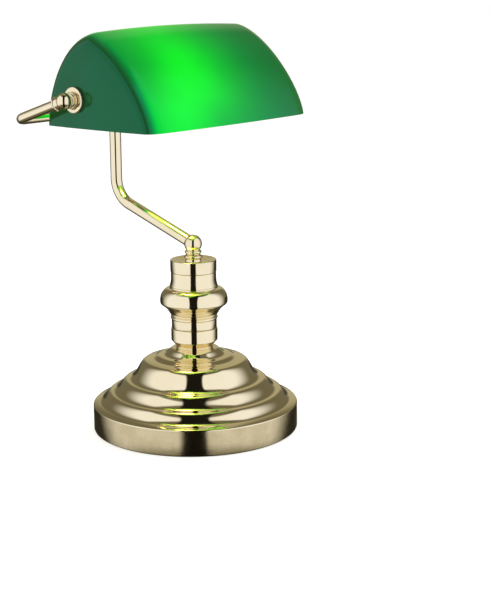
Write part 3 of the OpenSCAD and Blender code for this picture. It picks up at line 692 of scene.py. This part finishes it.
column_piece(
    "column_cup_turning",
    [(5.4, C0), (21.2, C0), (21.9, C0 + 0.3), (22.6, C0 + 1.5)]
    + [(22.6 + (CR - 1.2 - 22.6) * t - 0.9 * math.sin(math.pi * t), C0 + 1.5 + 6.9 * t) for t in (0.2, 0.4,
    0.6, 0.8)]
    + [(CR - 1.2, C0 + 8.4), (CR - 0.35, C0 + 9.3), (CR - 0.05, C0 + 10.4)]
    + swell_line + [(CUP_TOP_R, C1 - 1.2), (CUP_TOP_R, C1), (19, C1), (19, C1 - 2), (24, C0 + 15.6),
    (24, C0 + 11.6), (17, C0 + 2), (5.4, C0 + 2)],
    "column_cup", edge=0.2,
)
N1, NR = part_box("column_neck")[1].z / MM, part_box("neck_cap")[1].x / MM
column_piece(
    "column_neck_turning",
    [(18.9, C1), (CUP_TOP_R - 0.4, C1), (CUP_TOP_R - 0.1, C1 + 0.5), (CUP_TOP_R - 0.25, C1 + 1.1),
    (NR + 0.25, C1 + 2.4),
     (NR - 0.15, C1 + 4.2), (NR - 0.4, C1 + 7), (NR - 0.4, N1 - 0.8), (NR - 0.5, N1 - 0.3), (NR - 0.9, N1),
     (NR - 2.2, N1),
     (NR - 2.2, C1 - 4), (18.9, C1 - 4)],
    "column_neck", edge=0.15,
)
cap_low, cap_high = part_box("neck_cap")
K0, K1 = cap_low.z / MM, cap_high.z / MM
column_piece(
    "neck_cap_turning",
    [(NR - 2.2, K0), (NR - 0.7, K0), (NR - 0.25, K0 + 0.25), (NR - 0.1, K0 + 0.8), (NR, K1 - 1.2)]
    + arc(NR - 1, K1 - 1, 1, 12, 120, 8)
    + [(17.2, K1 - 0.75), (14.5, K1 - 1.5), (12, K1 - 2.1), (10, K1 - 2.4), (8.6, K1 - 2.5), (4, K1 - 2.5),
    (4, K1 - 8.8),
       (9, K1 - 8.8), (NR - 2.2, K1 - 7.3)],
    "neck_cap", edge=0.12,
)

# ---------------------------------------------------------------- arm

spindle_low, spindle_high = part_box("spindle")
BALL_R = 8.0
BALL_Z = spindle_high.z / MM - BALL_R
SHANK_Z = spindle_low.z / MM
DISH_Z = K1 - 2.2
LOW_BEAD_Z, TOP_BEAD_Z = 157.0, 161.4
spindle = turned(
    "spindle_turning",
    [(0, BALL_Z + 2), (2.6, BALL_Z + 1), (2.6, SHANK_Z), (3.95, SHANK_Z), (3.95, DISH_Z), (7.2, DISH_Z),
    (7.45, DISH_Z + 0.5),
     (7.1, DISH_Z + 1.4), (6.9, DISH_Z + 2.4)]
    + arc(6.6, LOW_BEAD_Z, 1.7, -62, 62, 10)
    + [(6.1, LOW_BEAD_Z + 2.2), (6, LOW_BEAD_Z + 2.6)]
    + arc(6.2, TOP_BEAD_Z, 1.4, -60, 60, 10)
    + [(6.15, TOP_BEAD_Z + 1.9), (6.15, TOP_BEAD_Z + 2.4)]
    + arc(0, BALL_Z, BALL_R, -39, 88, 26)
    + [(0, BALL_Z + BALL_R)],
)
finish_piece(spindle, BRASS_DEEP, "arm", ["spindle"], edge=0)

arm_low, arm_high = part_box("arm_tube")
TUBE_R = (arm_high.x - arm_low.x) / 2
STEM_Y = arm_high.y - TUBE_R
ELBOW_Z = 202.6 * MM
TEE_Z = 283 * MM
ARM_BEND_R = 24 * MM
ball_at = Vector((0, 0, BALL_Z * MM))
corner_at = Vector((0, STEM_Y, ELBOW_Z))
slope = (corner_at - ball_at).normalized()
up = Vector((0, 0, 1))
tangent = ARM_BEND_R * math.tan(slope.angle(up) / 2)
arm = bent_tube(
    "arm_tube_bent", ball_at + slope * 4.6 * MM, slope, TUBE_R,
    [((corner_at - ball_at).length - 4.6 * MM - tangent, up, ARM_BEND_R),
     (arm_high.z - ELBOW_Z - tangent, None, 0)],
)
finish_piece(arm, BRASS, "arm", ["arm_tube"], edge=0)

pivot_low, pivot_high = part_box("flange_left")
PIVOT = Vector((0, (pivot_low.y + pivot_high.y) / 2, (pivot_low.z + pivot_high.z) / 2))
TEE = Vector((0, STEM_Y, TEE_Z))
to_pivot = (PIVOT - TEE).normalized()
YOKE_RUN = (PIVOT - TEE).length
YOKE_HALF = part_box("elbow_right")[1].x - 7 * MM
YOKE_R = 4.4 * MM
YOKE_BEND_R = 9.5 * MM


def bead_at(z, middle_r=5.4, radius=1.1):
    return arc(middle_r, z, radius, -70, 70, 8)


tee = joined(
    "tee_fitting_turning",
    [
        place_mesh(
            turned("tee_socket", [(0, -17), (5.5, -17)] + bead_at(-16.1, 6.1, 1.3) + [(6.4, -14.4),
            (6.4, -3), (0, -3)], 64),
            Matrix.Translation(TEE),
        ),
        place_mesh(turned("tee_ball", [(0, -7.2)] + arc(0, 0, 7.2, -86, 86, 28) + [(0, 7.2)], 64),
        Matrix.Translation(TEE)),
        place_mesh(
            turned("tee_sleeve", [(0, -13), (5, -13)] + bead_at(-12) + [(5.6, -10.6),
            (5.6, 10.6)] + bead_at(12) + [(5, 13), (0, 13)], 64),
            aim((1, 0, 0), TEE),
        ),
    ],
)
finish_piece(tee, BRASS_DEEP, "arm", ["tee_fitting"], edge=0.15)


def elbow_piece(side, name, node):
    """Ball, the sleeve that takes the yoke tube, and the beaded sleeve up to the flange."""
    corner = PIVOT + Vector((side * YOKE_HALF, 0, 0))
    ball = place_mesh(turned("elbow_ball", [(0, -7)] + arc(0, 0, 7, -86, 86, 28) + [(0, 7)], 64),
        aim((side, 0, 0), corner))
    socket = turned(
        "elbow_socket", [(0, 3), (5.5, 3), (5.5, 7.4)] + bead_at(9.2, 5.1, 1.3) + [(5.2, 10.5), (0, 10.5)], 64
    )
    place_mesh(socket, aim(-to_pivot, corner))
    sleeve = turned(
        "elbow_sleeve",
        [(0, 4), (5.2, 4)] + bead_at(5.4, 5.6, 0.9) + [(5.2, 6.55)] + bead_at(7.7, 6.1, 1.1) + [(5.3, 9),
        (0, 9)], 64
    )
    place_mesh(sleeve, aim((-side, 0, 0), corner))
    obj = joined(name, [ball, socket, sleeve])
    finish_piece(obj, BRASS_DEEP, "arm", [node], edge=0.12)


def yoke_piece(side, name, node):
    sideways = Vector((side, 0, 0))
    obj = bent_tube(
        name, TEE + sideways * 4 * MM, sideways, YOKE_R,
        [(YOKE_HALF - YOKE_BEND_R - 4 * MM, to_pivot, YOKE_BEND_R),
        (YOKE_RUN - YOKE_BEND_R - 4.4 * MM, None, 0)],
    )
    finish_piece(obj, BRASS, "arm", [node], edge=0)


FLANGE_X = pivot_high.x / MM * -1


def pivot_pieces(side, label):
    """Flange outside the glass and the threaded stud that runs through it; the washer and nut inside the
    glass are made further down.
    """
    along = aim((side, 0, 0), PIVOT)
    flange = turned(
        f"flange_disc_{label}",
        [(4.95, FLANGE_X), (10.6, FLANGE_X), (11, FLANGE_X + 0.4), (11, FLANGE_X + 1.1)]
        + [(10.6, FLANGE_X + 1.45), (9.6, FLANGE_X + 1.75), (8.6, FLANGE_X + 1.8), (4.95, FLANGE_X + 1.8)],
    )
    place_mesh(flange, along)
    finish_piece(flange, BRASS_DEEP, "arm", [f"flange_{label}"], edge=0.1)
    stud_low, stud_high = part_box(f"pivot_stud_{label}")
    inner = (stud_low.x if side > 0 else -stud_high.x) / MM
    outer = (stud_high.x if side > 0 else -stud_low.x) / MM
    turns = int((outer - inner - 1.2) / 0.75)
    thread = [(4.95 if i % 2 else 4.5, inner + 0.6 + 0.375 * i) for i in range(2 * turns)]
    stud = turned(f"threaded_stud_{label}", [(2.6, inner), (4.3, inner)] + thread + [(4.6, outer),
        (2.6, outer)], 48)
    place_mesh(stud, along)
    finish_piece(stud, STEEL, "arm", [f"pivot_stud_{label}"], edge=0)


for side, label in ((-1, "left"), (1, "right")):
    elbow_piece(side, f"elbow_turning_{label}", f"elbow_{label}")
    yoke_piece(side, f"yoke_tube_bent_{label}", f"yoke_tube_{label}")
    pivot_pieces(side, label)

bush_low, bush_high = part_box("shade_bush_right")
BUSH_IN, BUSH_OUT = bush_low.x / MM, bush_high.x / MM
for side, label in ((-1, "left"), (1, "right")):
    bush = turned(
        f"rubber_bush_{label}",
        [(5, BUSH_IN), (10.6, BUSH_IN), (11, BUSH_IN + 0.3), (11, BUSH_IN + 0.9), (7.9, BUSH_IN + 0.9),
        (7.9, BUSH_OUT - 0.8),
         (11, BUSH_OUT - 0.8), (11, BUSH_OUT - 0.3), (10.6, BUSH_OUT), (5, BUSH_OUT)],
    )
    place_mesh(bush, aim((side, 0, 0), PIVOT))
    finish_piece(bush, RUBBER, "shade", [f"shade_bush_{label}"], edge=0.1)


def nut(name, flats, bore, low, high):
    """A hexagon nut with turned-off corners."""
    corner = flats / 2 / math.cos(math.radians(30))
    body = turned(name, [(bore, low), (corner, low), (corner, high), (bore, high)], 6)
    cutter = turned("nut_chamfer", [(0, low - 0.1), (corner - 0.7, low - 0.1), (corner + 0.5, low + 0.6),
        (corner + 0.5, high - 0.6), (corner - 0.7, high + 0.1), (0, high + 0.1)], 48)
    cut = body.modifiers.new("chamfer", "BOOLEAN")
    cut.operation = "INTERSECT"
    cut.object = cutter
    cut.solver = "EXACT"
    apply_all(body)
    bpy.data.objects.remove(cutter)
    return body


WASHER_X = BUSH_IN - 0.3
washers, nuts = [], []
for side in (-1, 1):
    along = aim((side, 0, 0), PIVOT)
    washers.append(place_mesh(turned("washer", [(4.95, WASHER_X - 1.5), (9.8, WASHER_X - 1.5),
        (10, WASHER_X - 1.3), (10, WASHER_X), (4.95, WASHER_X)]), along))
    nuts.append(place_mesh(nut("nut", 14, 4.95, WASHER_X - 5.9, WASHER_X - 1.5), along))
finish_piece(joined("inner_washer_pair", washers), STEEL, "arm", ["inner_washers"], edge=0.1)
finish_piece(joined("stud_nut_pair", nuts), STEEL, "arm", ["stud_nuts"], edge=0.15)

# ---------------------------------------------------------------- lampholder and bulb

cap_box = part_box("holder_cap")
HOLD_BACK, HOLD_JOINT = -cap_box[0].x / MM, -cap_box[1].x / MM
skirt_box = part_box("holder_skirt")
HOLD_MOUTH = -skirt_box[1].x / MM
HOLD_R = (skirt_box[1].y - skirt_box[0].y) / 2 / MM
at_holder = aim((-1, 0, 0), PIVOT)


def holder_piece(name, profile, node, material, edge=0.2):
    """Turned about the pivot axis: each point is (distance from the middle of the lamp, radius)."""
    obj = place_mesh(turned(name, [(r, x) for x, r in profile]), at_holder)
    return finish_piece(obj, material, "arm", [node], edge)


holder_piece(
    "holder_cap_turning",
    [(HOLD_BACK, 4.95), (HOLD_BACK, 7.3), (HOLD_BACK - 0.3, 7.6), (HOLD_BACK - 2.4, 8.4),
    (HOLD_BACK - 3.1, 9.6), (HOLD_BACK - 4, 12),
     (HOLD_BACK - 5.6, 14.9), (HOLD_BACK - 7.5, 16.8), (HOLD_BACK - 9.6, 18),
     (HOLD_JOINT + 1.4, HOLD_R - 0.6),
     (HOLD_JOINT + 0.5, HOLD_R - 0.25), (HOLD_JOINT, HOLD_R - 0.3), (HOLD_JOINT, HOLD_R - 1.4),
     (HOLD_JOINT + 2, HOLD_R - 2),
     (HOLD_BACK - 8, 15.2), (HOLD_BACK - 5, 10.6), (HOLD_BACK - 5, 4.95)],
    "holder_cap", BRASS_DEEP, edge=0,
)
groove = [
    (HOLD_JOINT - 4 - 3.2 * i + dx, HOLD_R - depth)
    for i in range(3)
    for dx, depth in ((0.5, 0), (0.2, 0.25), (-0.2, 0.25), (-0.5, 0))
]
holder_piece(
    "holder_skirt_turning",
    [(HOLD_JOINT, HOLD_R - 1.4), (HOLD_JOINT, HOLD_R - 0.3), (HOLD_JOINT - 0.5, HOLD_R - 0.1),
    (HOLD_JOINT - 1, HOLD_R)]
    + groove
    + [(HOLD_MOUTH + 1.2, HOLD_R), (HOLD_MOUTH + 0.4, HOLD_R - 0.15), (HOLD_MOUTH, HOLD_R - 0.6),
    (HOLD_MOUTH, HOLD_R - 1.1),
       (HOLD_MOUTH + 1.6, HOLD_R - 1.4)],
    "holder_skirt", BRASS_DEEP, edge=0,
)
shell_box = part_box("holder_shell")
SHELL_IN, SHELL_OUT = -shell_box[1].x / MM, -shell_box[0].x / MM
holder_piece(
    "holder_shell_rolled",
    [(SHELL_IN, 13.4), (SHELL_IN, 13.9)]
    + [(SHELL_IN + 1 + 0.6 * i, 13.9 - (0.3 if i % 6 in (2,
    3) else 0)) for i in range(int((SHELL_OUT - SHELL_IN - 2) / 0.6))]
    + [(SHELL_OUT, 13.9), (SHELL_OUT, 13.4)],
    "holder_shell", BRASS_DEEP, edge=0,
)

at_bulb = aim((1, 0, 0), PIVOT)
cap_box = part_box("bulb_cap")
CAP_X, CAP_END = cap_box[0].x / MM, cap_box[1].x / MM
thread_line = []
for i in range(int((CAP_END - CAP_X - 6) / 0.4)):
    swing = math.cos(2 * math.pi * i * 0.4 / 3.62)
    thread_line.append((12.65 + 0.34 * swing, CAP_X + 3 + 0.4 * i))
bulb_cap = turned(
    "bulb_cap_rolled",
    [(11, CAP_X), (11.8, CAP_X), (12.1, CAP_X + 1.2)] + thread_line
    + [(12.4, CAP_END - 2.4), (12.9, CAP_END - 1.2), (12.9, CAP_END), (12.4, CAP_END), (12.0, CAP_END - 2),
    (11, CAP_X + 1)],
)
place_mesh(bulb_cap, at_bulb)
finish_piece(bulb_cap, NICKEL, "bulb", ["bulb_cap"], edge=0)

G = GLOBE_R / MM
GX = BULB.x / MM
NECK_X = globe_low.x / MM
outline = [(12.35, NECK_X), (12.4, NECK_X + 3), (12.7, NECK_X + 6), (13.3, NECK_X + 9.5),
    (14.6, NECK_X + 13)] + [
    (G * math.sin(math.radians(a)), GX + G * math.cos(math.radians(a))) for a in range(138, 0, -6)
]
outline = [p for i, p in enumerate(outline) if i < 5 or p[1] > outline[4][1]]
envelope = turned(
    "bulb_envelope",
    outline + [(0, GX + G), (0, GX + G - 0.8)] + [(max(r - 0.8, 0.05),
    x - (0.8 if x > GX + 20 else 0)) for r, x in outline[::-1]],
)
place_mesh(envelope, at_bulb)
finish_piece(envelope, FROSTED, "bulb", ["bulb_glass"], edge=0)

# ---------------------------------------------------------------- glass shade

shade_low, shade_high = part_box("glass_shade")
SHADE_HALF, END_BULGE = 104.1, 1.8
RIDGE_Y, RIM_Z = 22.6, shade_low.z / MM
FRONT, REAR, SHADE_H = 72.4, 53.1, 78.0
FRONT_POWER, REAR_POWER = 1.41, 1.77
CORNER_R, CORNER_DRAW = 17.3, 0.52
SIDE_BULGE, RIDGE_BULGE = 3.4, shade_high.z / MM - shade_low.z / MM - 78.0
GLASS = 3.8
PROFILE_STEPS = 72


def shade_point(side, turn_angle, shrink, angle):
    """A point of the outer skin: side runs from -1 to 1 along the length, turn_angle goes round the
    corner, shrink is below 1 inside the end face, angle runs from the front rim to the rear rim."""
    c, s = math.cos(angle), max(math.sin(angle), 0)
    draw = CORNER_DRAW * CORNER_R * (1 - math.cos(turn_angle))
    end = math.copysign(1, side)
    x = side * (SHADE_HALF - CORNER_R) + end * (
        CORNER_R * math.sin(turn_angle) + END_BULGE * (1 - shrink * shrink)
    )
    swell = 1 - (x / SHADE_HALF) ** 2
    power = FRONT_POWER if c > 0 else REAR_POWER
    depth = -(FRONT - draw) * c ** (2 / power) if c > 0 else (REAR - draw) * (-c) ** (2 / power)
    rise = (SHADE_H - draw) * s ** (2 / power)
    middle = (REAR - FRONT) / 2
    return Vector(
        (
            x,
            RIDGE_Y + middle + shrink * (depth * (1 + SIDE_BULGE * swell / FRONT) - middle),
            RIM_Z + shrink * rise * (1 + RIDGE_BULGE * swell / SHADE_H),
        )
    ) * MM


quarter = math.pi / 2
end_stations = [(-1, quarter, t) for t in (0, 0.12, 0.25, 0.4, 0.55, 0.7, 0.82, 0.91, 0.97)]
corner_stations = [(-1, quarter * (1 - i / 12), 1) for i in range(12)]
left_stations = end_stations + corner_stations
stations = (
    left_stations
    + [(-1 + i / 12, 0, 1) for i in range(25)]
    + [(1, a, t) for _, a, t in left_stations[::-1]]
)
deselect()
bpy.ops.mesh.primitive_grid_add(x_subdivisions=len(stations) - 1, y_subdivisions=PROFILE_STEPS, size=1)
shade = start_piece("cased_glass_shade", bpy.context.object)
for vertex in shade.data.vertices:
    column = round((vertex.co.x + 0.5) * (len(stations) - 1))
    row = round((vertex.co.y + 0.5) * PROFILE_STEPS)
    side, turn_angle, shrink = stations[column]
    vertex.co = shade_point(side, turn_angle, shrink, math.pi * row / PROFILE_STEPS)
bpy.ops.object.mode_set(mode="EDIT")
bpy.ops.mesh.select_all(action="SELECT")
bpy.ops.mesh.remove_doubles(threshold=2e-6)
bpy.ops.mesh.normals_make_consistent(inside=False)
bpy.ops.object.mode_set(mode="OBJECT")
top_face = max(shade.data.polygons, key=lambda face: face.center.z)
if top_face.normal.z < 0:
    bpy.ops.object.mode_set(mode="EDIT")
    bpy.ops.mesh.select_all(action="SELECT")
    bpy.ops.mesh.flip_normals()
    bpy.ops.object.mode_set(mode="OBJECT")
shade.data.materials.append(GREEN)
shade.data.materials.append(INSIDE)
wall = shade.modifiers.new("wall", "SOLIDIFY")
wall.thickness = GLASS * MM
wall.offset = -1
wall.use_even_offset = True
wall.material_offset = 1
wall.material_offset_rim = 0
apply_all(shade)
for side in (-1, 1):
    drill = turned("bush_hole", [(0, 90), (8, 90), (8, 115), (0, 115)], 64)
    place_mesh(drill, aim((side, 0, 0), PIVOT))
    hole = shade.modifiers.new("hole", "BOOLEAN")
    hole.operation = "DIFFERENCE"
    hole.object = drill
    hole.solver = "EXACT"
    apply_all(shade)
    bpy.data.objects.remove(drill)
smooth(shade, 50)
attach(shade, "shade")
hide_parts("glass_shade")

# ---------------------------------------------------------------- finishes of the CAD nodes

CARRIED = {
    "base_weight": IRON, "bottom_plate": STEEL, "felt_pad": FELT, "plate_screws": STEEL,
    "terminal_block": CERAMIC,
    "tie_tube": STEEL, "tie_washers": STEEL, "tie_nuts": STEEL, "base_lead": LEAD, "swivel_washer": STEEL,
    "swivel_nut": STEEL, "holder_core": CERAMIC, "holder_contact": BRASS_DEEP, "terminal_screws": STEEL,
    "arm_lead": LEAD, "bulb_insulator": VITRITE, "bulb_contact": NICKEL, "bulb_stem": CLEAR,
    "bulb_filament": STEEL,
}
for node, material in CARRIED.items():
    node_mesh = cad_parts[node].data
    node_mesh.materials.clear()
    node_mesh.materials.append(material)

# ---------------------------------------------------------------- floor and light

FLOOR_GLOW = 0.6
BOX_COLOUR = (1.07, 1.09, 1.28, 1)
WALL_COLOUR = (1.0, 0.92, 0.64, 1)
WALL_LIGHT = 0.17
GAP_EDGE = (0.2, 0.26)
BOX_TOP = (0.9, 0.84)

floor_mat, floor_tree, floor_shader = new_material(
    "studio_floor", Emission_Color=(1, 0.99, 0.9, 1), Emission_Strength=FLOOR_GLOW, Specular_IOR_Level=0.0
)
tone = noise(floor_tree, scaled_place(floor_tree, (1, 1, 1)), 3.0, 2.0)
floor_tree.links.new(
    put(floor_tree, "ShaderNodeMix", {"data_type": "RGBA"}, i0=tone, i6=(0.84, 0.84, 0.84, 1),
    i7=(0.8, 0.8, 0.8, 1)).outputs[2],
    floor_shader.inputs["Base Color"],
)
floor_shader.inputs["Roughness"].default_value = 0.6
deselect()
bpy.ops.mesh.primitive_plane_add(size=9, location=(0, 0, 0))
floor = bpy.context.object
floor.name = "studio_floor"
floor.data.materials.append(floor_mat)
floor.visible_glossy = False

world = bpy.data.worlds.new("studio")
bpy.context.scene.world = world
world.use_nodes = True
sky = world.node_tree
sky.nodes.clear()
direction = put(sky, "ShaderNodeTexCoord").outputs["Generated"]
back = Vector((-towards.x, -towards.y, 0)).normalized()
sideways = Vector((-back.y, back.x, 0))
facing = put(sky, "ShaderNodeVectorMath", {"operation": "DOT_PRODUCT"}, i0=direction,
    i1=back).outputs["Value"]
across = put(sky, "ShaderNodeVectorMath", {"operation": "DOT_PRODUCT"}, i0=direction,
    i1=sideways).outputs["Value"]
height = put(sky, "ShaderNodeSeparateXYZ", Vector=direction).outputs["Z"]
angle = math_node(sky, "ABSOLUTE", math_node(sky, "ARCTAN2", across, facing))
# two large soft boxes beside the camera with a dark gap between them, dim warm walls, and darkness
# low down behind the lamp
beside = math_node(sky, "ABSOLUTE", across)
inner_edge = math_node(sky, "MAXIMUM", map_range(sky, beside, *GAP_EDGE), map_range(sky, angle, 1.6, 1.9))
outer_edge = map_range(sky, angle, 2.35, 1.6)
top_edge = map_range(sky, height, *BOX_TOP)
low_edge = map_range(sky, height, -0.75, -0.5)
box_light = math_node(sky, "MULTIPLY", math_node(sky, "MULTIPLY", inner_edge, outer_edge),
    math_node(sky, "MULTIPLY", top_edge, low_edge))
gap = math_node(sky, "MULTIPLY", math_node(sky, "SUBTRACT", 1.0, inner_edge),
    map_range(sky, height, 0.999, 0.985))
behind = map_range(sky, angle, 2.0, 2.4)
below = math_node(sky, "MULTIPLY", behind, map_range(sky, height, 0.05, -0.08, 0.0, 0.85))
backdrop = math_node(sky, "MULTIPLY", map_range(sky, angle, 2.75, 2.95), 0.3)
fill = math_node(sky, "MULTIPLY", math_node(sky, "SUBTRACT", 1.0, math_node(sky, "MAXIMUM", gap, below)),
    math_node(sky, "ADD", WALL_LIGHT, backdrop))
warm = put(sky, "ShaderNodeMix", {"data_type": "RGBA"}, i0=fill, i6=(0.012, 0.011, 0.009, 1),
    i7=WALL_COLOUR).outputs[2]
light = put(sky, "ShaderNodeMix", {"data_type": "RGBA"}, i0=box_light, i6=warm, i7=BOX_COLOUR).outputs[2]
seen = put(sky, "ShaderNodeLightPath").outputs["Is Camera Ray"]
shown = put(sky, "ShaderNodeMix", {"data_type": "RGBA"}, i0=seen, i6=light, i7=(1, 1, 1, 1)).outputs[2]
shine = put(sky, "ShaderNodeBackground", Color=shown, Strength=1.0)
sky.links.new(shine.outputs[0], put(sky, "ShaderNodeOutputWorld").inputs["Surface"])


def soft_light(name, place, size, power):
    data = bpy.data.lights.new(name, "AREA")
    data.shape = "RECTANGLE"
    data.size, data.size_y = size
    data.energy = power
    obj = bpy.data.objects.new(name, data)
    bpy.context.scene.collection.objects.link(obj)
    obj.location = place
    obj.rotation_euler = (Vector((0, 0, 0.2)) - Vector(place)).to_track_quat("-Z", "Y").to_euler()
    obj.visible_glossy = False


soft_light("overhead", (0.2, 0.1, 1.9), (1.0, 0.5), 12)

bpy.context.scene.view_settings.view_transform = "Standard"
bpy.context.scene.view_settings.look = "None"
